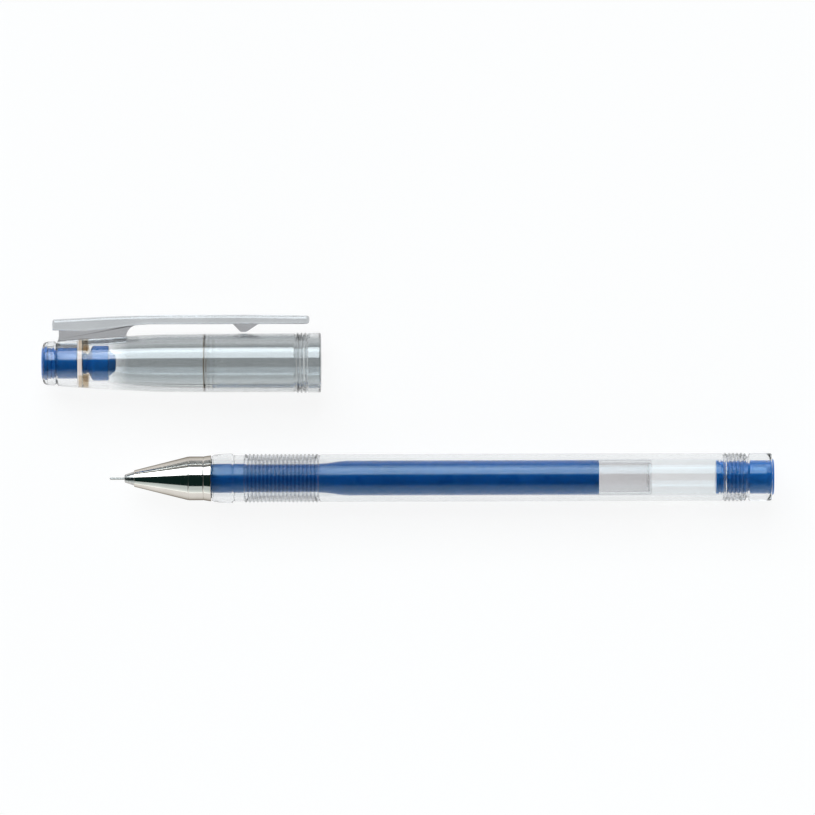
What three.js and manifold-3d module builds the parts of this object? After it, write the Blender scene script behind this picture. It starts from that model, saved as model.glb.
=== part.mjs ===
// Capped gel pen, shown uncapped: the pen lies along +X with its writing tip towards -X, and its
// cap lies beside it on the +Y side, closed end towards -X, with the clip lying flat towards +Y.
// Millimetres, +Z up, origin under the middle of the whole object.
// Stations along the pen are counted from the tip of the ball, and stations along the cap are
// counted from its closed end. Every profile below is a list of [station, radius].
import * as THREE from 'three';
import { mergeVertices } from 'three/addons/utils/BufferGeometryUtils.js';
import Module from 'manifold-3d';

// ---- driving dimensions ----

const SIDES = 24; // flats round a turned piece, one of them facing straight down
const FINE_SIDES = 12; // flats round the needle and the ball
const FLAT = Math.cos(Math.PI / SIDES); // distance to a flat, as a share of the radius

const PEN_LENGTH = 129.5;
const CAP_LENGTH = 54.6;
const CAP_LEAD = 13.26; // the cap's closed end lies this far beyond the writing tip
const CAP_OFFSET = 22.5; // between the pen's axis and the cap's axis

const BALL_RADIUS = 0.17;
const BALL_SEAT = { radius: 0.19, depth: 0.4 };
const NEEDLE = { start: 0.12, end: 5.6, radius: 0.25, channel: 0.11, edge: 0.2, chamfer: 0.14 };
const HOLDER = {
  start: 2.93, tipRadius: 0.75, coneEnd: 4.68, radius: 1.37, bodyEnd: 7.5,
  stem: 0.9, end: 11.0, socket: 0.27, socketEnd: 5.7, channel: 0.42,
};
const TIP_JOINT = {
  start: 7.65, nose: 1.5, noseEnd: 9.4, flange: 2.55, flangeStart: 11.4, flangeEnd: 12.4,
  plug: 2.3, end: 18.0, bore: 0.93, boreEnd: 11.2, channel: 0.6,
};
const TUBE = {
  start: 12.5, neck: 2.85, neckEnd: 42.3, bodyStart: 45.6, body: 3.4, end: 105.6,
  neckBore: 2.36, bodyBore: 2.86,
};
const INK = { start: 18.1, end: 95.4, slack: 0.03 };
const FOLLOWER = { start: 95.5, end: 105.2, radius: 2.82, dish: 0.5 };

const CONE = {
  start: 4.8, mouth: 1.6, mouthBore: 1.45, mouthBoreEnd: 6.6, shoulder: 15.4, radius: 4.27,
  flareStart: 18.3, end: 19.8, flare: 4.5, wall: 0.5, threadBore: 3.92,
};
const BARREL = {
  spigotStart: 15.6, spigot: 3.85, spigotBore: 3.46, shoulder: 20.0, shoulderRadius: 4.4,
  front: 20.2, frontRadius: 4.55, bore: 3.6, boreStart: 20.6, boreEnd: 119.9, radius: 4.65,
  end: 129.1, endRadius: 4.1, edge: 0.5, plugBore: 3.34, flareStart: 127.8, flareBore: 3.78,
};
const BULGE = { start: 22.6, end: 23.8, radius: 4.85, foot: 24.1, grooveEnd: 25.7, groove: 4.5 };
const GRIP = { start: 26.2, ribs: 19, pitch: 0.77 };
const TAIL_RIBS = { start: 119.6, ribs: 5, pitch: 0.78 };
const RIB = { crest: 4.77, root: 4.56, runOut: 0.2 };
const TAIL_NOTCH = { start: 123.9, end: 124.7, radius: 4.0 };
const PLUG = {
  start: 118.2, lipEnd: 118.8, neck: 2.95, neckEnd: 119.1, radius: 3.26,
  flareStart: 127.9, flare: 3.66, flareEnd: 129.0, endRadius: 3.4,
};

const CROWN = {
  length: 7.15, face: 2.8, dome: 0.35, head: 3.3, headEnd: 1.3, radius: 3.02, groove: 2.85,
  grooveHalf: 0.12, grooveAt: 2.2,
};
const SHELL = {
  start: 0.4, rim: 3.75, headBore: 3.35, headBoreEnd: 1.4, crownBore: 3.07, crownBoreEnd: 7.25,
  bulkheadEnd: 8.05,
  shoulder: 31.8, shoulderEnd: 32.1, narrowBore: 4.78, wideBore: 4.95, mouthBore: 5.15,
  lipStart: 52.2, lip: 5.85, mouthEdge: 5.5, edge: 0.4,
};
const SHELL_OUTSIDE = [
  [0.8, 4.15], [1.8, 4.32], [2.7, 4.36], [3.02, 4.02], [3.35, 4.42], [5.3, 4.62], [11.5, 5.02],
  [18.9, 5.46], [23.2, 5.66], [31.8, 5.73], [49.6, 5.76],
];
const SHELL_INSIDE = [[23.2, 4.7], [18.9, 4.35], [13.6, 3.8], [8.05, 3.62]];
const BEAD = { start: 49.6, count: 3, pitch: 0.77, radius: 5.95, root: 5.7 };
const SEAL = {
  start: 8.1, flange: 2.1, flangeEnd: 8.9, neck: 1.85, neckEnd: 9.3, shoulder: 10.4,
  radius: 3.42, bodyEnd: 13.2, mouth: 1.55, end: 14.5, mouthBore: 1.28, boreTaperEnd: 12.4,
  bore: 0.5, boreEnd: 9.9,
};

const CLIP = {
  width: 4.4, start: 2.2, startTop: 8.5, startBottom: 6.4, corner: 0.4, waist: 7.7,
  waistBottom: 6.18, rise: 12.0, riseTop: 9.03, riseBottom: 6.52, rootEnd: 18.6,
};
const ARM = {
  start: 18.9, startTop: 9.29, startBottom: 7.38, straight: 21.0, underside: 7.52,
  crestStart: 23.0, crest: 9.35, crestEnd: 40.0, end: 52.4, endTop: 9.15, endRound: 0.6,
};
const WEB = {
  width: 2.4, front: 3.5, frontFoot: 3.2, footFront: 4.1, back: 16.6, footBack: 4.95, top: 7.1,
};
const PIP = { width: 2.4, start: 37.4, apexStart: 38.9, apexEnd: 40.0, end: 42.4, apex: 6.0, root: 7.8 };

// ---- places worked out from the dimensions ----

const PEN_BOTTOM = BULGE.radius * FLAT;
const CAP_BOTTOM = BEAD.radius * FLAT;
const CAP_X = -(CAP_LEAD + PEN_LENGTH) / 2;
const PEN_X = CAP_X + CAP_LEAD;
const PEN_Y = -(CAP_OFFSET + ARM.crest - PEN_BOTTOM) / 2;
const CAP_Y = PEN_Y + CAP_OFFSET;

// ---- materials ----

function material(color, roughness, metalness = 0, opacity = 1) {
  return new THREE.MeshStandardMaterial({
    color, roughness, metalness, opacity, transparent: opacity < 1,
  });
}

const clearPlastic = material(0xdfe3e6, 0.08, 0, 0.3);
const smokyPlastic = material(0xb9bcc0, 0.12, 0, 0.45);
const frostedPlastic = material(0xe6e8ea, 0.3, 0, 0.5);
const bluePlastic = material(0x1f5296, 0.2);
const blueInk = material(0x17407c, 0.35);
const clearGrease = material(0xd9d4cf, 0.4, 0, 0.6);
const chrome = material(0xc9c9c4, 0.12, 1);
const steel = material(0x8f8d88, 0.25, 1);

// ---- shared shape helpers ----

// A body of revolution about X, from a profile that runs forwards along its outside.
function turned(profile, sides = SIDES) {
  const outline = profile.map(([station, radius]) => new THREE.Vector2(radius, station));
  const geometry = new THREE.LatheGeometry(outline, sides, Math.PI / sides);
  geometry.rotateZ(-Math.PI / 2);
  return geometry;
}

// A hollow body of revolution: its outside forwards, its inside backwards, closed on itself.
function turnedRing(outside, inside, sides = SIDES) {
  return turned([...outside, ...inside, outside[0]], sides);
}

// Small ribs as a zigzag between root and crest.
function ribProfile({ start, ribs, pitch }) {
  const points = [[start, RIB.root]];
  for (let i = 0; i < ribs; i += 1) {
    points.push([start + (i + 0.5) * pitch, RIB.crest], [start + (i + 1) * pitch, RIB.root]);
  }
  return points;
}

// An outline in the clip's plane, given as [station, height above the cap's axis], made into a
// bar of the given width that is centred on the axis.
function extruded(outline, width) {
  const shape = new THREE.Shape(outline.map(([station, height]) => new THREE.Vector2(station, height)));
  const geometry = new THREE.ExtrudeGeometry(shape, { depth: width, bevelEnabled: false });
  geometry.translate(0, 0, -width / 2);
  return geometry;
}

// A quarter arc from one point to another that sets off along X.
function fillet([startX, startY], [endX, endY], steps = 4) {
  const points = [];
  for (let i = 0; i <= steps; i += 1) {
    const angle = (i / steps) * (Math.PI / 2);
    points.push([
      startX + (endX - startX) * Math.sin(angle),
      startY + (endY - startY) * (1 - Math.cos(angle)),
    ]);
  }
  return points;
}

function piece(name, geometry, surface) {
  const mesh = new THREE.Mesh(geometry, surface);
  mesh.name = name;
  return mesh;
}

// ---- solids for cutting and joining ----

const wasm = await Module();
wasm.setup();

function asSolid(geometry) {
  const bare = geometry.clone();
  bare.deleteAttribute('normal');
  bare.deleteAttribute('uv');
  const merged = mergeVertices(bare, 1e-4);
  const corners = merged.index.array;
  const kept = [];
  for (let i = 0; i < corners.length; i += 3) {
    const [a, b, c] = [corners[i], corners[i + 1], corners[i + 2]];
    if (a !== b && b !== c && c !== a) kept.push(a, b, c);
  }
  const mesh = new wasm.Mesh({
    numProp: 3,
    vertProperties: new Float32Array(merged.attributes.position.array),
    triVerts: new Uint32Array(kept),
  });
  return new wasm.Manifold(mesh);
}

function asGeometry(solid) {
  const mesh = solid.getMesh();
  const geometry = new THREE.BufferGeometry();
  geometry.setAttribute('position', new THREE.BufferAttribute(mesh.vertProperties, 3));
  geometry.setIndex(new THREE.BufferAttribute(mesh.triVerts, 1));
  geometry.computeVertexNormals();
  return geometry;
}

// ---- writing point ----

function writingBall() {
  const steps = 8;
  const profile = [];
  for (let i = 0; i <= steps; i += 1) {
    const angle = (i / steps) * Math.PI;
    const radius = i === 0 || i === steps ? 0 : BALL_RADIUS * Math.sin(angle);
    profile.push([BALL_RADIUS * (1 - Math.cos(angle)), radius]);
  }
  return turned(profile, FINE_SIDES);
}

function needlePipe() {
  const outside = [
    [NEEDLE.start, NEEDLE.edge],
    [NEEDLE.start + NEEDLE.chamfer, NEEDLE.radius],
    [NEEDLE.end, NEEDLE.radius],
  ];
  const inside = [
    [NEEDLE.end, NEEDLE.channel],
    [BALL_SEAT.depth, NEEDLE.channel],
    [BALL_SEAT.depth, BALL_SEAT.radius],
    [NEEDLE.start, BALL_SEAT.radius],
  ];
  return turnedRing(outside, inside, FINE_SIDES);
}

function tipHolder() {
  const outside = [
    [HOLDER.start, HOLDER.tipRadius],
    [HOLDER.coneEnd, HOLDER.radius],
    [HOLDER.bodyEnd, HOLDER.radius],
    [HOLDER.bodyEnd, HOLDER.stem],
    [HOLDER.end, HOLDER.stem],
  ];
  const inside = [
    [HOLDER.end, HOLDER.channel],
    [HOLDER.socketEnd, HOLDER.channel],
    [HOLDER.socketEnd, HOLDER.socket],
    [HOLDER.start, HOLDER.socket],
  ];
  return turnedRing(outside, inside);
}

function tipJoint() {
  const outside = [
    [TIP_JOINT.start, TIP_JOINT.nose],
    [TIP_JOINT.noseEnd, TIP_JOINT.nose],
    [TIP_JOINT.flangeStart, TIP_JOINT.flange],
    [TIP_JOINT.flangeEnd, TIP_JOINT.flange],
    [TIP_JOINT.flangeEnd, TIP_JOINT.plug],
    [TIP_JOINT.end, TIP_JOINT.plug],
  ];
  const inside = [
    [TIP_JOINT.end, TIP_JOINT.channel],
    [TIP_JOINT.boreEnd, TIP_JOINT.channel],
    [TIP_JOINT.boreEnd, TIP_JOINT.bore],
    [TIP_JOINT.start, TIP_JOINT.bore],
  ];
  return turnedRing(outside, inside);
}

// ---- refill ----

function refillTube() {
  const outside = [
    [TUBE.start, TUBE.neck],
    [TUBE.neckEnd, TUBE.neck],
    [TUBE.bodyStart, TUBE.body],
    [TUBE.end, TUBE.body],
  ];
  const inside = [
    [TUBE.end, TUBE.bodyBore],
    [TUBE.bodyStart, TUBE.bodyBore],
    [TUBE.neckEnd, TUBE.neckBore],
    [TUBE.start, TUBE.neckBore],
  ];
  return turnedRing(outside, inside);
}

function inkColumn() {
  return turned([
    [INK.start, 0],
    [INK.start, TUBE.neckBore - INK.slack],
    [TUBE.neckEnd, TUBE.neckBore - INK.slack],
    [TUBE.bodyStart, TUBE.bodyBore - INK.slack],
    [INK.end, TUBE.bodyBore - INK.slack],
    [INK.end, 0],
  ]);
}

function greaseFollower() {
  return turned([
    [FOLLOWER.start, 0],
    [FOLLOWER.start, FOLLOWER.radius],
    [FOLLOWER.end, FOLLOWER.radius],
    [FOLLOWER.end - FOLLOWER.dish, FOLLOWER.radius / 2],
    [FOLLOWER.end - FOLLOWER.dish, 0],
  ]);
}

// ---- barrel ----

function noseCone() {
  const taper = (CONE.radius - CONE.mouth) / (CONE.shoulder - CONE.start);
  const innerEnd = CONE.radius - CONE.wall - taper * (CONE.end - CONE.flareStart) / 2;
  const outside = [
    [CONE.start, CONE.mouth],
    [CONE.shoulder, CONE.radius],
    [CONE.flareStart, CONE.radius],
    [CONE.end, CONE.flare],
  ];
  const inside = [
    [CONE.end, CONE.threadBore],
    [CONE.shoulder, CONE.threadBore],
    [CONE.shoulder, innerEnd],
    [CONE.mouthBoreEnd, CONE.mouthBore],
    [CONE.start, CONE.mouthBore],
  ];
  return turnedRing(outside, inside);
}

function barrel() {
  const gripEnd = GRIP.start + GRIP.ribs * GRIP.pitch;
  const tailRibsEnd = TAIL_RIBS.start + TAIL_RIBS.ribs * TAIL_RIBS.pitch;
  const outside = [
    [BARREL.spigotStart, BARREL.spigot],
    [BARREL.shoulder, BARREL.spigot],
    [BARREL.shoulder, BARREL.shoulderRadius],
    [BARREL.front, BARREL.frontRadius],
    [BULGE.start, BULGE.radius],
    [BULGE.end, BULGE.radius],
    [BULGE.foot, BULGE.groove],
    [BULGE.grooveEnd, BULGE.groove],
    ...ribProfile(GRIP),
    [gripEnd + RIB.runOut, BARREL.radius],
    [TAIL_RIBS.start - RIB.runOut, BARREL.radius],
    ...ribProfile(TAIL_RIBS),
    [tailRibsEnd + RIB.runOut, BARREL.radius],
    [TAIL_NOTCH.start, BARREL.radius],
    [(TAIL_NOTCH.start + TAIL_NOTCH.end) / 2, TAIL_NOTCH.radius],
    [TAIL_NOTCH.end, BARREL.radius],
    [BARREL.end - BARREL.edge, BARREL.radius],
    [BARREL.end, BARREL.endRadius],
  ];
  const inside = [
    [BARREL.end, BARREL.flareBore],
    [BARREL.flareStart, BARREL.plugBore],
    [BARREL.boreEnd, BARREL.plugBore],
    [BARREL.boreEnd, BARREL.bore],
    [BARREL.boreStart, BARREL.bore],
    [BARREL.shoulder, BARREL.spigotBore],
    [BARREL.spigotStart, BARREL.spigotBore],
  ];
  return turnedRing(outside, inside);
}

function tailPlug() {
  return turned([
    [PLUG.start, 0],
    [PLUG.start, PLUG.radius],
    [PLUG.lipEnd, PLUG.radius],
    [PLUG.lipEnd, PLUG.neck],
    [PLUG.neckEnd, PLUG.neck],
    [PLUG.neckEnd, PLUG.radius],
    [PLUG.flareStart, PLUG.radius],
    [PLUG.flareEnd, PLUG.flare],
    [PEN_LENGTH, PLUG.endRadius],
    [PEN_LENGTH, 0],
  ]);
}

// ---- cap ----

function shellBody() {
  const beads = [];
  for (let i = 0; i < BEAD.count; i += 1) {
    const start = BEAD.start + i * BEAD.pitch;
    beads.push([start + BEAD.pitch / 2, BEAD.radius], [start + BEAD.pitch, BEAD.root]);
  }
  return turned([
    [SHELL.crownBoreEnd, 0],
    [SHELL.crownBoreEnd, SHELL.crownBore],
    [SHELL.headBoreEnd, SHELL.crownBore],
    [SHELL.headBoreEnd, SHELL.headBore],
    [SHELL.start, SHELL.headBore],
    [SHELL.start, SHELL.rim],
    ...SHELL_OUTSIDE,
    ...beads,
    [SHELL.lipStart, SHELL.lip],
    [CAP_LENGTH - SHELL.edge, SHELL.lip],
    [CAP_LENGTH, SHELL.mouthEdge],
    [CAP_LENGTH, SHELL.mouthBore],
    [CAP_LENGTH - SHELL.edge, SHELL.wideBore],
    [SHELL.shoulderEnd, SHELL.wideBore],
    [SHELL.shoulder, SHELL.narrowBore],
    ...SHELL_INSIDE,
    [SHELL.bulkheadEnd, 0],
  ]);
}

// The thin web that carries the clip, its foot sunk in the shell's wall and its back hollowed.
function clipWeb() {
  return extruded([
    [WEB.frontFoot, WEB.footFront],
    [WEB.front, CLIP.startBottom],
    [WEB.front, WEB.top],
    ...fillet([CLIP.rootEnd, WEB.top], [WEB.back, WEB.footBack]),
  ], WEB.width);
}

// The fixed end of the clip, a wide bar on top of the web.
function clipRoot() {
  return extruded([
    [CLIP.start, CLIP.startBottom + CLIP.corner],
    [CLIP.start + CLIP.corner, CLIP.startBottom],
    [CLIP.waist, CLIP.waistBottom],
    [CLIP.rise, CLIP.riseBottom],
    [CLIP.rootEnd, ARM.startBottom],
    [CLIP.rootEnd, ARM.startTop],
    [CLIP.rise, CLIP.riseTop],
    [CLIP.start + CLIP.corner, CLIP.startTop],
    [CLIP.start, CLIP.startTop - CLIP.corner],
  ], CLIP.width);
}

function capShell() {
  const clip = asSolid(clipRoot()).add(asSolid(clipWeb()));
  return asGeometry(asSolid(shellBody()).add(clip));
}

// The clip's free arm, with the pip that bears on the shell.
function clipArm() {
  const arm = extruded([
    [ARM.start, ARM.startBottom],
    [ARM.straight, ARM.underside],
    [ARM.end - ARM.endRound, ARM.underside],
    [ARM.end, ARM.underside + ARM.endRound],
    [ARM.end, ARM.endTop - ARM.endRound],
    [ARM.end - ARM.endRound, ARM.endTop],
    [ARM.crestEnd, ARM.crest],
    [ARM.crestStart, ARM.crest],
    [ARM.start, ARM.startTop],
  ], CLIP.width);
  const pip = extruded([
    [PIP.start, PIP.root],
    [PIP.start, ARM.underside],
    [PIP.apexStart, PIP.apex],
    [PIP.apexEnd, PIP.apex],
    [PIP.end, ARM.underside],
    [PIP.end, PIP.root],
  ], PIP.width);
  return asGeometry(asSolid(arm).add(asSolid(pip)));
}

function crownPlug() {
  return turned([
    [0, 0],
    [0, CROWN.face],
    [CROWN.dome, CROWN.head],
    [CROWN.headEnd, CROWN.head],
    [CROWN.headEnd, CROWN.radius],
    [CROWN.grooveAt - CROWN.grooveHalf, CROWN.radius],
    [CROWN.grooveAt, CROWN.groove],
    [CROWN.grooveAt + CROWN.grooveHalf, CROWN.radius],
    [CROWN.length, CROWN.radius],
    [CROWN.length, 0],
  ]);
}

function innerSeal() {
  return turned([
    [SEAL.start, 0],
    [SEAL.start, SEAL.flange],
    [SEAL.flangeEnd, SEAL.flange],
    [SEAL.flangeEnd, SEAL.neck],
    [SEAL.neckEnd, SEAL.neck],
    [SEAL.shoulder, SEAL.radius],
    [SEAL.bodyEnd, SEAL.radius],
    [SEAL.end, SEAL.mouth],
    [SEAL.end, SEAL.mouthBore],
    [SEAL.boreTaperEnd, SEAL.bore],
    [SEAL.boreEnd, SEAL.bore],
    [SEAL.boreEnd, 0],
  ]);
}

// ---- assembly ----

const refill = new THREE.Group();
refill.add(piece('writing_ball', writingBall(), steel));
refill.add(piece('needle_pipe', needlePipe(), steel));
refill.add(piece('tip_holder', tipHolder(), steel));
refill.add(piece('tip_joint', tipJoint(), frostedPlastic));
refill.add(piece('refill_tube', refillTube(), frostedPlastic));
refill.add(piece('ink_column', inkColumn(), blueInk));
refill.add(piece('grease_follower', greaseFollower(), clearGrease));

const body = new THREE.Group();
body.add(piece('barrel', barrel(), clearPlastic));
body.add(piece('nose_cone', noseCone(), chrome));
body.add(piece('tail_plug', tailPlug(), bluePlastic));

const pen = new THREE.Group();
pen.position.set(PEN_X, PEN_Y, PEN_BOTTOM);
pen.add(refill, body);

const cap = new THREE.Group();
cap.position.set(CAP_X, CAP_Y, CAP_BOTTOM);
cap.add(piece('cap_shell', capShell(), clearPlastic));
cap.add(piece('crown_plug', crownPlug(), bluePlastic));
cap.add(piece('inner_seal', innerSeal(), bluePlastic));
cap.add(piece('clip_arm', clipArm(), smokyPlastic));

const gelPen = new THREE.Group();
gelPen.add(pen, cap);

export default gelPen;
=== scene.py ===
import math

import bmesh
import bpy
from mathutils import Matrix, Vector


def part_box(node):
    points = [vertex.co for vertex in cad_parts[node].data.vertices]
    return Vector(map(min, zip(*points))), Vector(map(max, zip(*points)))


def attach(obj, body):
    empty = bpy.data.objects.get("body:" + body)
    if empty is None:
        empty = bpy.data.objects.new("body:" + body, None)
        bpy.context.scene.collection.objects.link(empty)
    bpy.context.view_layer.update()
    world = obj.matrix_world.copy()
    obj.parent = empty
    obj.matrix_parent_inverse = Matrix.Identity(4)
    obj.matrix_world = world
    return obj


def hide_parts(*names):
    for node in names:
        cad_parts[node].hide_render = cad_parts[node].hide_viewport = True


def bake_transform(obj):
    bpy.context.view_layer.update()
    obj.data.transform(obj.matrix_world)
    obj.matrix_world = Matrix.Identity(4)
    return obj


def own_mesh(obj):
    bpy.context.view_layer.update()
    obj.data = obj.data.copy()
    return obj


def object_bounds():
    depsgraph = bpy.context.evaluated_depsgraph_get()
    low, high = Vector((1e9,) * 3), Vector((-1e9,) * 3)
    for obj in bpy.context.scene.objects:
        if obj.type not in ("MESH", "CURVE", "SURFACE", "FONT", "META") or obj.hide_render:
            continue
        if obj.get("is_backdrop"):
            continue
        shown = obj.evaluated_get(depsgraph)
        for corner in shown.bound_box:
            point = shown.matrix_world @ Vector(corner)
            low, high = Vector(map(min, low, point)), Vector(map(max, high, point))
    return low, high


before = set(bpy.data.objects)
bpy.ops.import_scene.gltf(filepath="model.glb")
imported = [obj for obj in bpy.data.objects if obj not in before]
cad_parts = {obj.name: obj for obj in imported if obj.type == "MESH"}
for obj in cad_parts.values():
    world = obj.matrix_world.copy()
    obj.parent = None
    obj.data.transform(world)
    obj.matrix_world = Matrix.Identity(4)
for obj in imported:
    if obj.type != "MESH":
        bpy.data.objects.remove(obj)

cad_low, cad_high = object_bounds()

# ---- sizes, in millimetres: stations run along each piece's axis from its origin ----

MM = 0.001
SIDES = 128
FINE_SIDES = 48

BALL_RADIUS = 0.17
NEEDLE = {"start": 0.12, "end": 5.6, "radius": 0.25, "channel": 0.11, "seat": 0.19, "seat_end": 0.4}
HOLDER = {
    "start": 2.93, "tip": 0.75, "cone_end": 4.68, "radius": 1.37, "body_end": 7.5,
    "stem": 0.9, "end": 11.0, "socket": 0.27, "socket_end": 5.7, "channel": 0.42,
}
JOINT = {
    "start": 7.65, "nose": 1.5, "nose_end": 9.4, "flange_start": 11.4, "flange": 2.55,
    "flange_end": 12.4, "plug": 2.3, "end": 18.0, "bore": 0.93, "bore_end": 11.2, "channel": 0.6,
}
TUBE = {
    "start": 12.5, "neck": 2.85, "neck_end": 42.3, "body_start": 45.6, "body": 3.4, "end": 105.6,
    "neck_bore": 2.36, "body_bore": 2.86,
}
INK = {"start": 18.1, "end": 95.4, "wetting": 0.02, "dish_edge": 0.25, "dish": 0.35}
FOLLOWER = {"start": 95.5, "end": 105.2, "dish": 0.7}

CONE = {
    "start": 4.8, "mouth": 1.6, "mouth_bore": 1.45, "mouth_bore_end": 6.6, "shoulder": 15.4,
    "radius": 4.27, "flare_start": 18.3, "end": 19.8, "flare": 4.5, "inner_end": 3.58,
    "thread_bore": 3.93, "groove": 0.06,
}
BARREL = {
    "spigot_start": 15.6, "thread_start": 16.2, "thread_end": 19.2, "spigot": 3.85,
    "thread_root": 3.66, "thread_pitch": 0.75, "run_out": 0.4, "spigot_bore": 3.46, "shoulder": 20.0,
    "front": 4.5, "bore": 3.6, "bore_start": 20.6, "bore_end": 119.9, "radius": 4.65,
    "end": 129.1, "plug_bore": 3.34, "flare_start": 127.8, "flare_bore": 3.78,
}
BULGE = {"start": 22.5, "end": 23.9, "radius": 4.85, "groove": 4.5, "groove_end": 25.6}
RIB = {"crest": 4.77, "root": 4.48, "steps": 8}
GRIP = {"start": 26.2, "count": 19, "pitch": 0.77}
TAIL_RIBS = {"start": 119.6, "count": 5, "pitch": 0.78}
NOTCH = {"start": 123.9, "end": 124.7, "radius": 4.0}
PLUG = {
    "start": 118.2, "lip_end": 118.8, "neck": 2.95, "neck_end": 119.1, "radius": 3.26,
    "flare_start": 127.9, "flare": 3.66, "flare_end": 129.0, "end": 129.5, "end_radius": 3.4,
    "dimple_rim": 1.4, "dimple": 1.1, "dimple_end": 129.2,
}

CROWN = {
    "start": 0.15, "length": 7.2, "face": 2.9, "dome": 0.4, "head": 3.3, "head_end": 1.35, "radius": 3.02,
    "groove": 2.8, "groove_at": 2.2, "groove_half": 0.13,
}
SHELL = {
    "start": 0.4, "rim": 3.8, "head_bore": 3.35, "head_bore_end": 1.45, "crown_bore": 3.07,
    "crown_bore_end": 7.25, "bulkhead_end": 8.05, "shoulder": 31.8, "shoulder_end": 32.05,
    "narrow_bore": 4.78, "wide_bore": 4.95, "wide_bore_end": 54.2, "mouth_bore": 5.15, "end": 54.6,
    "lip_start": 52.05, "lip": 5.85, "bead_shoulder": 5.76, "throat": 3.62,
}
SHELL_GROOVE = {
    "start": 2.7, "start_radius": 4.36, "middle": 3.02, "radius": 4.0, "end": 3.35, "end_radius": 4.42,
}
# The shell's rounded rim, and its taper outside and inside, as (station, radius, fillet).
SHELL_RIM = [(0.8, 4.15, 0.3), (1.8, 4.32, 0.4)]
SHELL_TAPER = [(5.3, 4.62, 1.0), (11.5, 5.02, 3.0), (18.9, 5.46, 3.0), (23.2, 5.66, 3.0), (31.8, 5.73, 4.0)]
SHELL_BORE = [(23.2, 4.7, 3.0), (18.9, 4.35, 3.0), (13.6, 3.8, 2.0)]
BEADS = {"start": 49.6, "count": 3, "pitch": 0.77, "crest": 5.95, "root": 5.64, "steps": 8}
SEAL = {
    "start": 8.1, "flange": 2.1, "flange_end": 8.9, "neck": 1.85, "neck_end": 9.3,
    "shoulder": 10.1, "radius": 3.42, "body_end": 13.25, "mouth": 1.55, "end": 14.5,
    "mouth_bore": 1.28, "taper_end": 12.4, "bore": 0.5, "bore_end": 9.9,
}
CLIP = {
    "width": 4.4, "start": 2.2, "start_top": 8.52, "start_bottom": 6.4, "waist": 7.7,
    "waist_bottom": 6.18, "rise": 12.0, "rise_top": 9.03, "rise_bottom": 6.52, "pivot": 18.9,
    "pivot_bottom": 7.38, "straight": 21.0, "underside": 7.52, "crest_start": 23.0,
    "crest": 9.35, "crest_end": 40.0, "end": 52.4, "end_top": 9.15, "round_over": 0.65,
    "bend_before": 2.0, "bend_after": 4.0,
}
WEB = {
    "width": 2.4, "front": 3.5, "bend": 5.0, "front_end": 3.25, "front_foot": 4.15, "back": 16.6,
    "back_foot": 4.9, "arch_end": 18.8, "round_over": 0.15, "touch": 0.05,
}
PIP = {
    "width": 2.4, "start": 37.4, "apex_start": 38.9, "apex_end": 40.0, "end": 42.4, "apex": 6.0,
    "round_over": 0.12, "touch": 0.04,
}

# ---- places, from the frame ----


def middle(node):
    low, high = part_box(node)
    return (low + high) / 2


PEN_ORIGIN = Vector((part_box("writing_ball")[0].x, middle("barrel").y, middle("barrel").z))
CAP_ORIGIN = Vector((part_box("crown_plug")[0].x, middle("crown_plug").y, middle("crown_plug").z))

# ---- mesh helpers ----


def rounded(corners, steps=5):
    """A profile of (station, radius) or (station, radius, fillet) corners, with the fillets as arcs."""
    points = []
    last = len(corners) - 1
    for i, corner in enumerate(corners):
        here = Vector(corner[:2])
        fillet = corner[2] if len(corner) > 2 else 0
        if not fillet or i in (0, last):
            points.append(here)
            continue
        before = Vector(corners[i - 1][:2]) - here
        after = Vector(corners[i + 1][:2]) - here
        reach = min(fillet, before.length * 0.49, after.length * 0.49)
        start = here + before.normalized() * reach
        end = here + after.normalized() * reach
        for k in range(steps + 1):
            t = k / steps
            points.append(start * (1 - t) ** 2 + here * 2 * t * (1 - t) + end * t * t)
    return [(p.x, p.y) for p in points]


def ridges(start, count, pitch, root, crest, steps):
    """A row of round-topped ridges, as profile points."""
    points = []
    for i in range(count * steps + 1):
        wave = math.sin(math.pi * (i / steps)) ** 2
        points.append((start + i * pitch / steps, root + (crest - root) * wave ** 0.75))
    return points


def smooth(mesh, angle=35):
    mesh.shade_smooth()
    mesh.set_sharp_from_angle(angle=math.radians(angle))


def add_piece(name, mesh):
    piece = bpy.data.objects.new(name, mesh)
    bpy.context.scene.collection.objects.link(piece)
    return piece


def finished_mesh(name, bm):
    bmesh.ops.recalc_face_normals(bm, faces=bm.faces)
    mesh = bpy.data.meshes.new(name)
    bm.to_mesh(mesh)
    bm.free()
    smooth(mesh)
    return mesh


def turned(name, profile, origin, sides=SIDES, relief=None):
    """A body of revolution about X through origin. Its profile either starts and ends on the axis
    or closes on itself. What relief(station, radius, turn) returns is added to the radius, with
    turn from 0 to 1."""
    bm = bmesh.new()
    rings = []
    for station, radius in profile:
        if radius < 1e-6:
            rings.append([bm.verts.new(origin + Vector((station, 0, 0)) * MM)])
            continue
        ring = []
        for k in range(sides):
            turn = k / sides
            r = radius + (relief(station, radius, turn) if relief else 0)
            a = turn * math.tau
            ring.append(bm.verts.new(origin + Vector((station, r * math.cos(a), r * math.sin(a))) * MM))
        rings.append(ring)
    solid = len(rings[0]) == 1
    pairs = list(zip(rings, rings[1:]))
    if not solid:
        pairs.append((rings[-1], rings[0]))
    for first, second in pairs:
        join_rings(bm, first, second, sides)
    return add_piece(name, finished_mesh(name, bm))


def join_rings(bm, first, second, sides):
    """Faces between two rings of vertices. A ring of one vertex is a point on the axis."""
    for k in range(sides):
        n = (k + 1) % sides
        loop = [(first, k), (first, n), (second, n), (second, k)]
        corners = list(dict.fromkeys(ring[i % len(ring)] for ring, i in loop))
        if len(corners) > 2:
            bm.faces.new(corners)


# ---- materials ----


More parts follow.
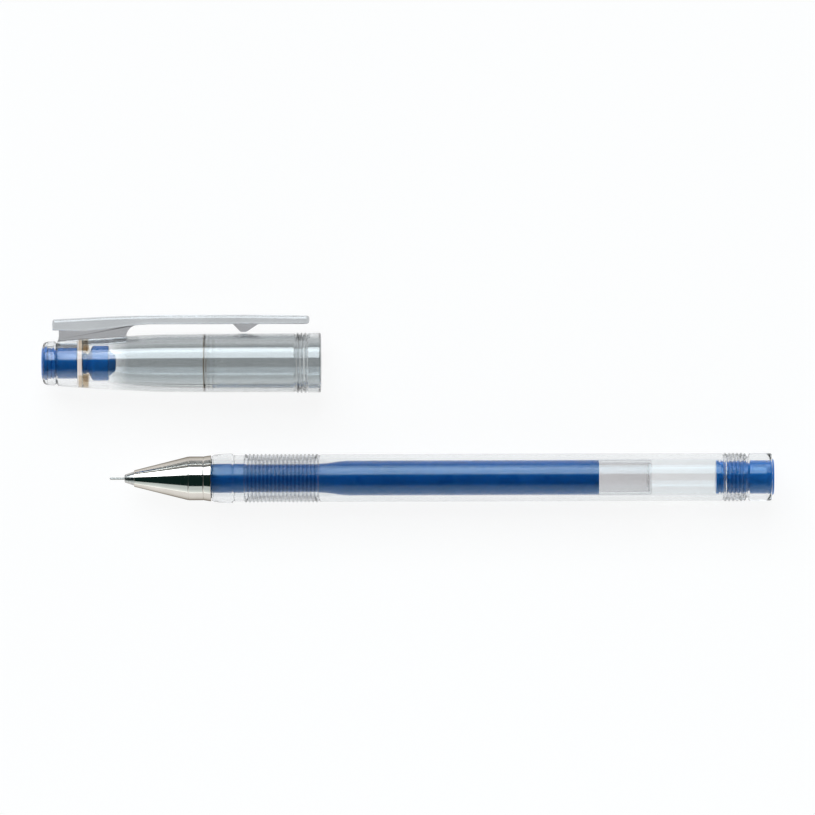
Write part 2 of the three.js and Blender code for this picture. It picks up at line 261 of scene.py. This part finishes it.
class Tree:
    """A node tree, with the texture coordinates it reads and shorthands for its commonest nodes."""

    def __init__(self, tree, coordinates):
        self.nodes = tree.nodes
        self.links = tree.links
        self.place = self.nodes.new("ShaderNodeTexCoord").outputs[coordinates]
        split = self.nodes.new("ShaderNodeSeparateXYZ")
        self.links.new(self.place, split.inputs[0])
        self.x, self.y, self.z = split.outputs

    def math(self, operation, *values):
        node = self.nodes.new("ShaderNodeMath")
        node.operation = operation
        for socket, value in zip(node.inputs, values):
            if isinstance(value, (int, float)):
                socket.default_value = value
            else:
                self.links.new(value, socket)
        return node.outputs[0]

    def spread(self, value, low, high, to_low=0.0, to_high=1.0, shape="LINEAR"):
        """A value from low to high made into one from to_low to to_high."""
        node = self.nodes.new("ShaderNodeMapRange")
        node.interpolation_type = shape
        node.inputs["From Min"].default_value = low
        node.inputs["From Max"].default_value = high
        node.inputs["To Min"].default_value = to_low
        node.inputs["To Max"].default_value = to_high
        self.links.new(value, node.inputs["Value"])
        return node.outputs["Result"]

    def step(self, value, low, high):
        return self.spread(value, low, high, shape="SMOOTHSTEP")


class Surface(Tree):
    """A Principled material with procedural noise for its colour, roughness and fine relief."""

    def __init__(self, name, metallic=0.0, transmission=0.0, ior=1.5, coat=0.0, coat_ior=1.5, tint=(1, 1, 1)):
        self.material = bpy.data.materials.new(name)
        self.material.use_nodes = True
        super().__init__(self.material.node_tree, "Object")
        self.shader = self.nodes["Principled BSDF"]
        self.shader.inputs["Metallic"].default_value = metallic
        self.shader.inputs["Transmission Weight"].default_value = transmission
        self.shader.inputs["IOR"].default_value = ior
        self.shader.inputs["Coat Weight"].default_value = coat
        self.shader.inputs["Coat IOR"].default_value = coat_ior
        self.shader.inputs["Specular Tint"].default_value = (*tint, 1)

    def noise(self, scale, stretch=(1, 1, 1), detail=3.0):
        mapping = self.nodes.new("ShaderNodeMapping")
        mapping.inputs["Scale"].default_value = stretch
        self.links.new(self.place, mapping.inputs["Vector"])
        texture = self.nodes.new("ShaderNodeTexNoise")
        texture.inputs["Scale"].default_value = scale
        texture.inputs["Detail"].default_value = detail
        self.links.new(mapping.outputs["Vector"], texture.inputs["Vector"])
        return texture.outputs["Fac"]

    def repeats(self, start, pitch):
        """0 to 1 over every pitch along X."""
        return self.math("FRACT", self.math("DIVIDE", self.math("SUBTRACT", self.x, start), pitch))

    def off_axis(self, middle, near, far):
        """0 within near of the plane y = middle, 1 beyond far."""
        return self.spread(self.math("ABSOLUTE", self.math("SUBTRACT", self.y, middle)), near, far)

    def base(self, colour):
        self.links.new(colour, self.shader.inputs["Base Color"])
        return self

    def colours(self, dark, light, fac):
        return self.base(self.bands([(0.3, dark), (0.7, light)], fac))

    def bands(self, stops, fac):
        """A colour along fac from (place, colour) stops."""
        node = self.nodes.new("ShaderNodeValToRGB")
        elements = node.color_ramp.elements
        elements.remove(elements[1])
        for i, (place, colour) in enumerate(stops):
            stop = elements.new(place) if i else elements[0]
            stop.position = place
            stop.color = (*colour, 1)
        self.links.new(fac, node.inputs["Fac"])
        return node.outputs["Color"]

    def blended(self, first, second, fac):
        mix = self.nodes.new("ShaderNodeMixRGB")
        self.links.new(fac, mix.inputs["Fac"])
        self.links.new(first, mix.inputs["Color1"])
        self.links.new(second, mix.inputs["Color2"])
        return self.base(mix.outputs["Color"])

    def roughness(self, low, high, fac):
        self.links.new(self.spread(fac, 0.3, 0.7, low, high), self.shader.inputs["Roughness"])
        return self

    def relief(self, depth, fac):
        bump = self.nodes.new("ShaderNodeBump")
        bump.inputs["Distance"].default_value = depth * MM
        bump.inputs["Strength"].default_value = 1.0
        self.links.new(fac, bump.inputs["Height"])
        self.links.new(bump.outputs["Normal"], self.shader.inputs["Normal"])
        return self


COOL = (0.7, 0.94, 1.0)


def clear_plastic():
    surface = Surface("clear_plastic", transmission=1.0, ior=1.36, coat=0.12, coat_ior=1.6, tint=COOL)
    surface.colours((0.84, 0.86, 0.87), (0.89, 0.9, 0.91), surface.noise(60))
    surface.roughness(0.015, 0.05, surface.noise(220, stretch=(0.3, 1, 1)))
    return surface.relief(0.004, surface.noise(90)).material


def ribbed_plastic(name, ribs):
    """The barrel's plastic where it is ribbed, with painted shade in the hollows and a painted highlight on
    the crests: grey in the hollows, clear on the crests.
    """
    surface = Surface(name, transmission=1.0, ior=1.36, coat=0.6, coat_ior=1.8, tint=COOL)
    # Painted shade and highlight: the hollows are painted grey shade and the crests a painted highlight,
    # repeating at the ribs' pitch.
    hollow, crest = (0.58, 0.61, 0.66), (0.97, 0.98, 0.99)
    place = surface.repeats(PEN_ORIGIN.x + ribs["start"] * MM, ribs["pitch"] * MM)
    painted_rib_shading = [(0.0, hollow), (0.2, hollow), (0.45, crest), (0.55, crest), (0.8, hollow), (1.0, hollow)]
    surface.base(surface.bands(painted_rib_shading, place))
    surface.roughness(0.015, 0.05, surface.noise(220, stretch=(0.3, 1, 1)))
    return surface.relief(0.004, surface.noise(90)).material


def smoky_plastic(name, tint):
    surface = Surface(name, transmission=1.0, ior=1.5, coat=0.7, coat_ior=1.75)
    surface.colours([0.92 * level for level in tint], [1.05 * level for level in tint], surface.noise(70))
    surface.roughness(0.03, 0.08, surface.noise(200, stretch=(0.3, 1, 1)))
    return surface.relief(0.004, surface.noise(90)).material


def band(start, end, colour, beside, fade=0.08):
    """Stops for a band of colour along the cap between two stations."""
    return [(start - fade, beside), (start, colour), (end, colour), (end + fade, beside)]


def shell_plastic(name, coat):
    """Clear over the crown and the seal and smoky where the shell is wide, with a painted amber reflection
    round the bulkhead, painted dark brown shade in the corner of the bore's shoulder and painted grey shade
    in its fine grooves."""
    surface = Surface(name, transmission=1.0, ior=1.45, coat=coat, coat_ior=1.7)
    # groove is painted grey shade for the fine groove at the shell's head; clear and smoky are the plastic's
    # own tints.
    clear, smoky, groove = (0.9, 0.91, 0.92), (0.6, 0.625, 0.635), (0.3, 0.34, 0.4)
    # pale_amber and amber are painted warm reflection round the bulkhead, and shoulder is painted dark brown
    # shade in the corner of the bore's shoulder.
    pale_amber, amber, shoulder = (0.8, 0.7, 0.65), (0.42, 0.32, 0.2), (0.2, 0.13, 0.06)
    faint = [0.8 * level for level in smoky]
    head = [(0, clear), *band(2.95, 3.1, groove, clear)]
    body = [
        (13.0, clear), (17.0, smoky), *band(31.68, 31.9, shoulder, smoky),
        *band(32.6, 32.7, faint, smoky), *band(33.5, 33.6, faint, smoky),
    ]
    # middle holds within 2.2 mm of the axis in Y and sides beyond 2.5 mm, where the painted amber reflection
    # is wider and stronger.
    middle = head + band(7.35, 7.95, pale_amber, clear) + body
    sides = head + band(7.35, 9.3, amber, clear) + body
    along = surface.spread(surface.x, CAP_ORIGIN.x, CAP_ORIGIN.x + SHELL["end"] * MM)
    colours = []
    for stations in (middle, sides):
        colours.append(surface.bands([(at / SHELL["end"], colour) for at, colour in stations], along))
    surface.blended(*colours, surface.off_axis(CAP_ORIGIN.y, 2.2 * MM, 2.5 * MM))
    surface.roughness(0.03, 0.08, surface.noise(200, stretch=(0.3, 1, 1)))
    return surface.relief(0.004, surface.noise(90)).material


def refill_plastic():
    surface = Surface("refill_plastic", transmission=1.0, ior=1.3)
    surface.colours((0.9, 0.91, 0.92), (0.96, 0.96, 0.97), surface.noise(80))
    surface.roughness(0.05, 0.1, surface.noise(300, stretch=(0.2, 1, 1)))
    return surface.relief(0.003, surface.noise(150)).material


def joint_plastic():
    surface = Surface("joint_plastic", transmission=0.4, ior=1.48)
    surface.colours((0.72, 0.73, 0.74), (0.82, 0.82, 0.83), surface.noise(300))
    surface.roughness(0.3, 0.45, surface.noise(500))
    return surface.relief(0.004, surface.noise(600)).material


def blue_plastic():
    surface = Surface("blue_plastic", ior=1.5, tint=(0.35, 0.72, 1.0))
    surface.colours((0.02, 0.2, 0.68), (0.027, 0.24, 0.8), surface.noise(160))
    surface.roughness(0.12, 0.22, surface.noise(400))
    return surface.relief(0.003, surface.noise(300)).material


def blue_ink():
    surface = Surface("blue_gel_ink", ior=1.5, tint=(0.2, 0.78, 1.0))
    surface.colours((0.012, 0.18, 0.7), (0.017, 0.215, 0.82), surface.noise(120, stretch=(0.15, 1, 1)))
    surface.roughness(0.25, 0.35, surface.noise(200))
    return surface.relief(0.003, surface.noise(180)).material


def grease():
    surface = Surface("follower_grease", transmission=1.0, ior=1.12)
    surface.colours((0.95, 0.92, 0.91), (0.98, 0.955, 0.95), surface.noise(250))
    surface.roughness(0.1, 0.2, surface.noise(350))
    return surface.relief(0.006, surface.noise(220)).material


def nickel():
    surface = Surface("polished_nickel", metallic=1.0, tint=(0.25, 0.23, 0.2))
    surface.colours((0.62, 0.58, 0.53), (0.73, 0.69, 0.635), surface.noise(40, stretch=(6, 1, 1)))
    surface.roughness(0.05, 0.12, surface.noise(300, stretch=(12, 1, 1)))
    return surface.relief(0.0015, surface.noise(500, stretch=(14, 1, 1))).material


def turned_steel():
    surface = Surface("turned_steel", metallic=1.0)
    surface.colours((0.42, 0.41, 0.39), (0.56, 0.55, 0.53), surface.noise(300, stretch=(8, 1, 1)))
    surface.roughness(0.14, 0.26, surface.noise(900, stretch=(10, 1, 1)))
    return surface.relief(0.002, surface.noise(1500, stretch=(12, 1, 1))).material


CLEAR = clear_plastic()
GRIP_PLASTIC = ribbed_plastic("grip_ribs", GRIP)
TAIL_PLASTIC = ribbed_plastic("tail_ribs", TAIL_RIBS)
SMOKY = smoky_plastic("smoky_plastic", (0.6, 0.62, 0.64))
SHELL_PLASTIC = shell_plastic("shell_plastic", 1.0)
SHELL_HEAD_PLASTIC = shell_plastic("shell_head_plastic", 0.35)
WEB_PLASTIC = smoky_plastic("smoky_web", (0.45, 0.455, 0.47))
REFILL = refill_plastic()
JOINT_PLASTIC = joint_plastic()
BLUE = blue_plastic()
INK_BLUE = blue_ink()
GREASE = grease()
NICKEL = nickel()
STEEL = turned_steel()


def dress(piece, material, node, body):
    """Gives a finished piece its material and its body, and hides the CAD node it stands for."""
    piece.data.materials.append(material)
    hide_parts(node)
    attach(piece, body)
    return piece


def dress_part(piece, material, origin, start, end, inner):
    """Gives another material to the faces from start to end along X that lie beyond the inner
    radius from the axis through origin."""
    piece.data.materials.append(material)
    index = len(piece.data.materials) - 1
    for face in piece.data.polygons:
        reach = math.hypot(face.center.y - origin.y, face.center.z - origin.z)
        if start < face.center.x < end and reach > inner:
            face.material_index = index


# ---- writing point ----


def writing_ball():
    steps = 16
    profile = []
    for i in range(steps + 1):
        a = math.pi * i / steps
        profile.append((BALL_RADIUS * (1 - math.cos(a)), BALL_RADIUS * math.sin(a) if 0 < i < steps else 0))
    ball = turned("ball", profile, PEN_ORIGIN, FINE_SIDES)
    dress(ball, STEEL, "writing_ball", "refill")


def needle():
    n = NEEDLE
    profile = rounded([
        (n["start"], n["seat"]), (n["start"], n["seat"] + 0.02),
        (n["start"] + 0.14, n["radius"], 0.08), (n["end"], n["radius"]),
        (n["end"], n["channel"]), (n["seat_end"], n["channel"]), (n["seat_end"], n["seat"]),
    ])
    pipe = turned("needle", profile, PEN_ORIGIN, FINE_SIDES)
    dress(pipe, STEEL, "needle_pipe", "refill")


def tip_holder():
    h = HOLDER
    profile = rounded([
        (h["start"], h["socket"]), (h["start"], h["tip"], 0.1), (h["cone_end"], h["radius"], 0.15),
        (h["body_end"], h["radius"], 0.1), (h["body_end"], h["stem"]), (h["end"], h["stem"], 0.1),
        (h["end"], h["channel"]), (h["socket_end"], h["channel"]), (h["socket_end"], h["socket"]),
    ])
    holder = turned("metal_tip_holder", profile, PEN_ORIGIN, FINE_SIDES * 2)
    dress(holder, STEEL, "tip_holder", "refill")


def tip_joint():
    j = JOINT
    profile = rounded([
        (j["start"], j["bore"]), (j["start"], j["nose"], 0.2), (j["nose_end"], j["nose"], 0.3),
        (j["flange_start"], j["flange"], 0.3), (j["flange_end"], j["flange"], 0.1),
        (j["flange_end"], j["plug"]), (j["end"], j["plug"], 0.2), (j["end"], j["channel"]),
        (j["bore_end"], j["channel"]), (j["bore_end"], j["bore"]),
    ])
    joint = turned("refill_joint", profile, PEN_ORIGIN)
    dress(joint, JOINT_PLASTIC, "tip_joint", "refill")


# ---- refill ----


def refill_tube():
    t = TUBE
    profile = rounded([
        (t["start"], t["neck_bore"], 0.1), (t["start"], t["neck"], 0.15), (t["neck_end"], t["neck"], 1.5),
        (t["body_start"], t["body"], 1.5), (t["end"], t["body"], 0.12), (t["end"], t["body_bore"], 0.12),
        (t["body_start"], t["body_bore"], 1.5), (t["neck_end"], t["neck_bore"], 1.5),
    ])
    tube = turned("refill_tube_clear", profile, PEN_ORIGIN)
    dress(tube, REFILL, "refill_tube", "refill")


def ink_column():
    t, wet = TUBE, INK["wetting"]
    profile = rounded([
        (INK["start"], 0), (INK["start"], t["neck_bore"] + wet, 0.2),
        (t["neck_end"], t["neck_bore"] + wet, 1.5),
        (t["body_start"], t["body_bore"] + wet, 1.5), (INK["end"], t["body_bore"] + wet, 0.1),
        (INK["end"] - INK["dish_edge"], t["body_bore"] * 0.6, 1.0), (INK["end"] - INK["dish"], 0),
    ])
    ink = turned("gel_ink", profile, PEN_ORIGIN)
    ink.data.materials.append(INK_BLUE)
    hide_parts("ink_column")
    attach(ink, "refill")
    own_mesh(ink)


def follower():
    f, radius = FOLLOWER, TUBE["body_bore"] - 0.02
    profile = rounded([
        (f["start"], 0), (f["start"], radius, 0.15), (f["end"], radius, 0.05),
        (f["end"] - f["dish"] * 0.8, radius * 0.6, 1.2), (f["end"] - f["dish"], 0),
    ])
    slug = turned("grease_slug", profile, PEN_ORIGIN)
    dress(slug, GREASE, "grease_follower", "follower")


# ---- barrel ----


def thread_relief(station, radius, turn):
    """A rolled thread on the spigot's outside, one turn per pitch."""
    b = BARREL
    if not b["thread_start"] <= station <= b["thread_end"] or abs(radius - b["spigot"]) > 0.01:
        return 0
    wave = 0.5 - 0.5 * math.cos(math.tau * (station / b["thread_pitch"] - turn))
    from_end = min(station - b["thread_start"], b["thread_end"] - station)
    fade = min(1, from_end / b["run_out"])
    return (b["thread_root"] - b["spigot"]) * wave * fade


def thread_stations():
    b = BARREL
    steps = 40
    span = b["thread_end"] - b["thread_start"]
    return [(b["thread_start"] + span * i / steps, b["spigot"]) for i in range(steps + 1)]


def barrel():
    b = BARREL
    tail_ribs_end = TAIL_RIBS["start"] + TAIL_RIBS["count"] * TAIL_RIBS["pitch"]
    grip_end = GRIP["start"] + GRIP["count"] * GRIP["pitch"]
    rib_shape = (RIB["root"], RIB["crest"], RIB["steps"])
    front = rounded([
        (b["spigot_start"], b["spigot_bore"]), (b["spigot_start"], b["spigot"], 0.2),
        (b["thread_start"] - 0.1, b["spigot"]),
    ])
    collar = rounded([
        (b["thread_end"] + 0.1, b["spigot"]), (b["shoulder"], b["spigot"]), (b["shoulder"], b["front"], 0.25),
        (BULGE["start"], BULGE["radius"], 0.8), (BULGE["end"], BULGE["radius"], 0.25),
        (BULGE["end"] + 0.3, BULGE["groove"], 0.15), (BULGE["groove_end"], BULGE["groove"], 0.2),
    ])
    body = rounded([
        (grip_end + 0.1, RIB["root"]), (grip_end + 0.5, b["radius"], 0.3),
        (TAIL_RIBS["start"] - 0.35, b["radius"], 0.2), (TAIL_RIBS["start"] - 0.05, RIB["root"]),
    ])
    tail = rounded([
        (tail_ribs_end + 0.05, RIB["root"]), (tail_ribs_end + 0.25, b["radius"], 0.1),
        (NOTCH["start"], b["radius"], 0.08), ((NOTCH["start"] + NOTCH["end"]) / 2, NOTCH["radius"], 0.08),
        (NOTCH["end"], b["radius"], 0.08), (b["end"], b["radius"], 0.7), (b["end"], b["flare_bore"], 0.12),
        (b["flare_start"], b["plug_bore"], 0.2), (b["bore_end"], b["plug_bore"], 0.1),
        (b["bore_end"], b["bore"], 0.2), (b["bore_start"], b["bore"], 0.3),
        (b["shoulder"], b["spigot_bore"], 0.3), (b["spigot_start"] + 0.2, b["spigot_bore"]),
    ])
    profile = [
        *front, *thread_stations(), *collar,
        *ridges(GRIP["start"], GRIP["count"], GRIP["pitch"], *rib_shape), *body,
        *ridges(TAIL_RIBS["start"], TAIL_RIBS["count"], TAIL_RIBS["pitch"], *rib_shape), *tail,
    ]
    shell = turned("clear_barrel", profile, PEN_ORIGIN, relief=thread_relief)
    dress(shell, CLEAR, "barrel", "barrel")
    for ribs, material in ((GRIP, GRIP_PLASTIC), (TAIL_RIBS, TAIL_PLASTIC)):
        start = PEN_ORIGIN.x + ribs["start"] * MM
        end = start + ribs["count"] * ribs["pitch"] * MM
        outside = (RIB["root"] - 0.1) * MM
        dress_part(shell, material, PEN_ORIGIN, start, end, outside)


def nose_cone():
    c, groove = CONE, CONE["groove"]
    profile = rounded([
        (c["start"], c["mouth_bore"]), (c["start"], c["mouth"], 0.08),
        (c["shoulder"] - 0.1, c["radius"] - 0.02, 0.08), (c["shoulder"], c["radius"] - groove),
        (c["shoulder"] + 0.1, c["radius"], 0.05), (c["flare_start"] - 0.1, c["radius"], 0.05),
        (c["flare_start"], c["radius"] - groove), (c["flare_start"] + 0.1, c["radius"] + 0.01, 0.05),
        (c["end"], c["flare"], 0.15), (c["end"], c["thread_bore"], 0.1),
        (c["shoulder"], c["thread_bore"]), (c["shoulder"], c["inner_end"]),
        (c["mouth_bore_end"], c["mouth_bore"]),
    ])
    cone = turned("nickel_nose_cone", profile, PEN_ORIGIN)
    dress(cone, NICKEL, "nose_cone", "cone")


def tail_plug():
    p = PLUG
    profile = rounded([
        (p["start"], 0), (p["start"], p["radius"], 0.2), (p["lip_end"], p["radius"], 0.1),
        (p["lip_end"], p["neck"]), (p["neck_end"], p["neck"]), (p["neck_end"], p["radius"], 0.1),
        (p["flare_start"], p["radius"], 0.5), (p["flare_end"], p["flare"], 0.3),
        (p["end"], p["end_radius"], 0.25), (p["end"], p["dimple_rim"], 0.1),
        (p["dimple_end"], p["dimple"], 0.15), (p["dimple_end"], 0),
    ])
    plug = turned("blue_tail_plug", profile, PEN_ORIGIN)
    dress(plug, BLUE, "tail_plug", "barrel")


# ---- cap ----


def shell_outside():
    """The shell's end over the crown, from the axis round to the first bead."""
    s, g = SHELL, SHELL_GROOVE
    return rounded([
        (s["crown_bore_end"], 0), (s["crown_bore_end"], s["crown_bore"], 0.1),
        (s["head_bore_end"], s["crown_bore"], 0.05), (s["head_bore_end"], s["head_bore"], 0.05),
        (s["start"], s["head_bore"], 0.05), (s["start"], s["rim"], 0.12), *SHELL_RIM,
        (g["start"], g["start_radius"], 0.06), (g["middle"], g["radius"], 0.05),
        (g["end"], g["end_radius"], 0.06), *SHELL_TAPER,
        (BEADS["start"] - 0.25, s["bead_shoulder"], 0.1), (BEADS["start"] - 0.05, BEADS["root"]),
    ])


def shell_inside():
    """From the last bead round the lip and back along the bore to the axis."""
    s = SHELL
    return rounded([
        (s["lip_start"] - 0.1, BEADS["root"]), (s["lip_start"], s["lip"], 0.08),
        (s["end"], s["lip"], 0.6), (s["end"], s["mouth_bore"], 0.15),
        (s["wide_bore_end"], s["wide_bore"], 0.2), (s["shoulder_end"], s["wide_bore"], 0.05),
        (s["shoulder"], s["narrow_bore"], 0.05), *SHELL_BORE,
        (s["bulkhead_end"], s["throat"], 0.4), (s["bulkhead_end"], 0),
    ])


def cap_shell():
    b = BEADS
    beads = ridges(b["start"], b["count"], b["pitch"], b["root"], b["crest"], b["steps"])
    shell = turned("clear_cap_shell", [*shell_outside(), *beads, *shell_inside()], CAP_ORIGIN)
    dress(shell, SHELL_PLASTIC, "cap_shell", "cap")
    head_end = CAP_ORIGIN.x + SEAL["body_end"] * MM
    dress_part(shell, SHELL_HEAD_PLASTIC, CAP_ORIGIN, CAP_ORIGIN.x, head_end, 0)


def crown_plug():
    c = CROWN
    profile = rounded([
        (c["start"], 0), (c["start"], c["face"], 0.25), (c["dome"], c["head"], 0.15),
        (c["head_end"], c["head"], 0.05), (c["head_end"], c["radius"], 0.05),
        (c["groove_at"] - c["groove_half"], c["radius"], 0.04), (c["groove_at"], c["groove"], 0.04),
        (c["groove_at"] + c["groove_half"], c["radius"], 0.04),
        (c["length"], c["radius"], 0.2), (c["length"], 0),
    ])
    plug = turned("blue_crown_plug", profile, CAP_ORIGIN)
    dress(plug, BLUE, "crown_plug", "cap")


def inner_seal():
    s = SEAL
    profile = rounded([
        (s["start"], 0), (s["start"], s["flange"], 0.1), (s["flange_end"], s["flange"], 0.1),
        (s["flange_end"], s["neck"], 0.1), (s["neck_end"], s["neck"], 0.2),
        (s["shoulder"], s["radius"], 0.4), (s["body_end"], s["radius"], 0.2),
        (s["body_end"] + 0.1, s["radius"] * 0.72, 0.2), (s["end"], s["mouth"], 0.15),
        (s["end"], s["mouth_bore"], 0.1), (s["taper_end"], s["bore"], 0.3), (s["bore_end"], s["bore"], 0.1),
        (s["bore_end"], 0),
    ])
    seal = turned("blue_inner_seal", profile, CAP_ORIGIN)
    dress(seal, BLUE, "inner_seal", "cap")


def inset(corners, distance):
    """A closed outline's corners moved inwards by a distance, with their fillets made smaller.
    A sharp corner moves no further than the blunt limit lets it."""
    blunt = 0.4
    points = [Vector(corner[:2]) for corner in corners]
    area = sum(a.cross(b) for a, b in zip(points, points[1:] + points[:1]))
    moved = []
    for i, corner in enumerate(corners):
        before = (points[i] - points[i - 1]).normalized()
        after = (points[(i + 1) % len(points)] - points[i]).normalized()
        turns = [Vector((-d.y, d.x)) * math.copysign(1, area) for d in (before, after)]
        mitre = (turns[0] + turns[1]) / max(1 + turns[0].dot(turns[1]), blunt)
        fillet = [max(corner[2] - distance, 0.05)] if len(corner) > 2 else []
        moved.append((*(points[i] + mitre * distance), *fillet))
    return moved


def bar(name, corners, width, round_over):
    """An outline of (station, height above the cap's axis, fillet) corners as a bar across the
    clip's plane, with its rims rounded over."""
    steps = 5
    half = width / 2
    layers = [(half - round_over * (1 - math.sin(a)), round_over * (1 - math.cos(a)))
              for a in (math.pi / 2 * k / steps for k in range(steps + 1))]
    layers = [(-z, distance) for z, distance in reversed(layers)] + layers
    bm = bmesh.new()
    rings = []
    for z, distance in layers:
        outline = rounded(inset(corners, distance))
        rings.append([bm.verts.new(CAP_ORIGIN + Vector((x, y, z)) * MM) for x, y in outline])
    for first, second in zip(rings, rings[1:]):
        join_rings(bm, first, second, len(first))
    bm.faces.new(rings[0][::-1])
    bm.faces.new(rings[-1])
    mesh = finished_mesh(name, bm)
    for face in mesh.polygons:
        face.use_smooth = len(face.vertices) <= 4
    return add_piece(name, mesh)


def clip_underside():
    """The corners along the clip's underside, from its fixed end to its free end."""
    c = CLIP
    return [
        (c["start"] + 0.1, c["start_bottom"], 0.5), (c["waist"], c["waist_bottom"], 2.0),
        (c["rise"], c["rise_bottom"], 2.0), (c["pivot"], c["pivot_bottom"], 2.0),
        (c["straight"], c["underside"], 1.5), (c["end"] - 0.1, c["underside"], 0.7),
    ]


def cap_clip():
    """The clip's bar from root to free end. The arm bends away from the root."""
    c = CLIP
    corners = [
        *clip_underside(), (c["end"], c["end_top"], 0.7), (c["crest_end"], c["crest"], 3.0),
        (c["crest_start"], c["crest"], 3.0), (c["rise"], c["rise_top"], 3.0),
        (c["start"] + 0.05, c["start_top"], 0.7), (c["start"], (c["start_top"] + c["start_bottom"]) / 2),
    ]
    clip = bar("cap_clip", corners, c["width"], c["round_over"])
    clip.data.materials.append(SMOKY)
    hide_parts("clip_arm")
    bend_clip(clip)


def bend_clip(piece):
    """Bakes the piece's placement into its mesh; the arm is not bent."""
    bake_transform(piece)


def clip_web():
    """The thin plate between the shell and the clip's root, with a rounded hollow at its back."""
    w, c, touch = WEB, CLIP, WEB["touch"]
    steps = 8
    arch = []
    for k in range(steps + 1):
        a = math.pi / 2 * k / steps
        arch.append((
            w["back"] + (w["arch_end"] - w["back"]) * (1 - math.cos(a)),
            w["back_foot"] + (c["pivot_bottom"] - w["back_foot"]) * math.sin(a),
        ))
    front = [
        (c["rise"], c["rise_bottom"] + touch), (c["waist"], c["waist_bottom"] + touch, 1.0),
        (w["front"], c["start_bottom"]), (w["front"], w["bend"], 0.8), (w["front_end"], w["front_foot"]),
    ]
    web = bar("clip_web", [*front, *arch], w["width"], w["round_over"])
    dress(web, WEB_PLASTIC, "cap_shell", "cap")


def clip_pip():
    p, c = PIP, CLIP
    corners = [
        (p["start"], c["underside"] + p["touch"]), (p["apex_start"], p["apex"], 0.3),
        (p["apex_end"], p["apex"], 0.3), (p["end"], c["underside"] + p["touch"]),
    ]
    pip = bar("clip_pip", corners, p["width"], p["round_over"])
    dress(pip, WEB_PLASTIC, "clip_arm", "clip")


# ---- studio ----


def floor():
    """A wide pale floor that touches the lowest piece."""
    surface = Surface("pale_floor")
    surface.colours((0.13, 0.13, 0.13), (0.15, 0.15, 0.15), surface.noise(3))
    surface.roughness(0.8, 0.9, surface.noise(30))
    surface.shader.inputs["Specular IOR Level"].default_value = 0.1
    surface.shader.inputs["Emission Color"].default_value = (1, 1, 1, 1)
    surface.shader.inputs["Emission Strength"].default_value = 0.9
    size = 4.0
    mesh = bpy.data.meshes.new("floor")
    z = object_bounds()[0].z
    corners = [(-size, -size, z), (size, -size, z), (size, size, z), (-size, size, z)]
    mesh.from_pydata(corners, [], [(0, 1, 2, 3)])
    mesh.materials.append(surface.material)
    add_piece("floor", mesh)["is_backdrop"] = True


class Sky(Tree):
    """The studio's surroundings as a world shader, lit by long softboxes that run along X."""

    def __init__(self):
        world = bpy.data.worlds.new("studio")
        bpy.context.scene.world = world
        world.use_nodes = True
        super().__init__(world.node_tree, "Generated")
        self.background = self.nodes["Background"]

    def softbox(self, side, near, far, level):
        """Light between two angles from the zenith, in degrees, towards +Y (side 1) or -Y (-1)."""
        angle = self.math("ARCTAN2", self.math("MULTIPLY", self.y, side), self.z)
        lit = self.math(
            "MULTIPLY",
            self.step(angle, math.radians(near - 1.5), math.radians(near + 1.5)),
            self.step(angle, math.radians(far + 2), math.radians(far - 2)),
        )
        ends = self.math("MULTIPLY", self.step(self.x, -0.68, -0.58), self.step(self.x, 0.26, 0.18))
        return self.math("MULTIPLY", self.math("MULTIPLY", lit, ends), level)


def studio():
    """Each light's share of red, green and blue is set apart: the near softboxes are cool, the
    far one warm, and the ceiling dark green. The backdrop glows along the horizon."""
    sky = Sky()
    wide = sky.math("MULTIPLY", sky.step(sky.z, 0.55, 0.05), 0.5)
    low = sky.math("MULTIPLY", sky.step(sky.z, 0.2, 0.12), 0.45)
    horizon = sky.math("ADD", wide, low)
    wide_box = sky.softbox(side=1, near=20, far=62, level=3.1)
    narrow_box = sky.softbox(side=1, near=44, far=62, level=1.4)
    near = sky.math("ADD", wide_box, narrow_box)
    far = sky.softbox(side=-1, near=42, far=84, level=0.72)
    light = sky.nodes.new("ShaderNodeCombineXYZ")
    shares = ((0.006, 0.92, 0.92), (0.02, 1.02, 1.04), (0.018, 1.08, 1.06))
    for socket, (ceiling, cool, warm) in zip(light.inputs, shares):
        lamps = sky.math("ADD", sky.math("MULTIPLY", near, cool), sky.math("MULTIPLY", far, warm))
        sky.links.new(sky.math("ADD", sky.math("ADD", horizon, ceiling), lamps), socket)
    sky.links.new(light.outputs["Vector"], sky.background.inputs["Color"])


def camera():
    """Straight down on the middle of the object through a long lens, rolled by the slight tilt
    that the object has in the photograph."""
    frame_width, shift_up, roll = 0.1589, 0.00019, -0.15
    data = bpy.data.cameras.new("camera")
    data.lens = 400
    data.sensor_width = 36
    height = frame_width / 2 / math.tan(data.angle / 2)
    shot = bpy.data.objects.new("camera", data)
    bpy.context.scene.collection.objects.link(shot)
    centre = (cad_low + cad_high) / 2
    shot.location = (centre.x, centre.y + shift_up, PEN_ORIGIN.z + height)
    shot.rotation_euler.z = math.radians(roll)
    bpy.context.scene.camera = shot
    bpy.context.scene.view_settings.view_transform = "Standard"


writing_ball()
needle()
tip_holder()
tip_joint()
refill_tube()
ink_column()
follower()
barrel()
nose_cone()
tail_plug()
cap_shell()
crown_plug()
inner_seal()
cap_clip()
clip_web()
clip_pip()
floor()
studio()
camera()
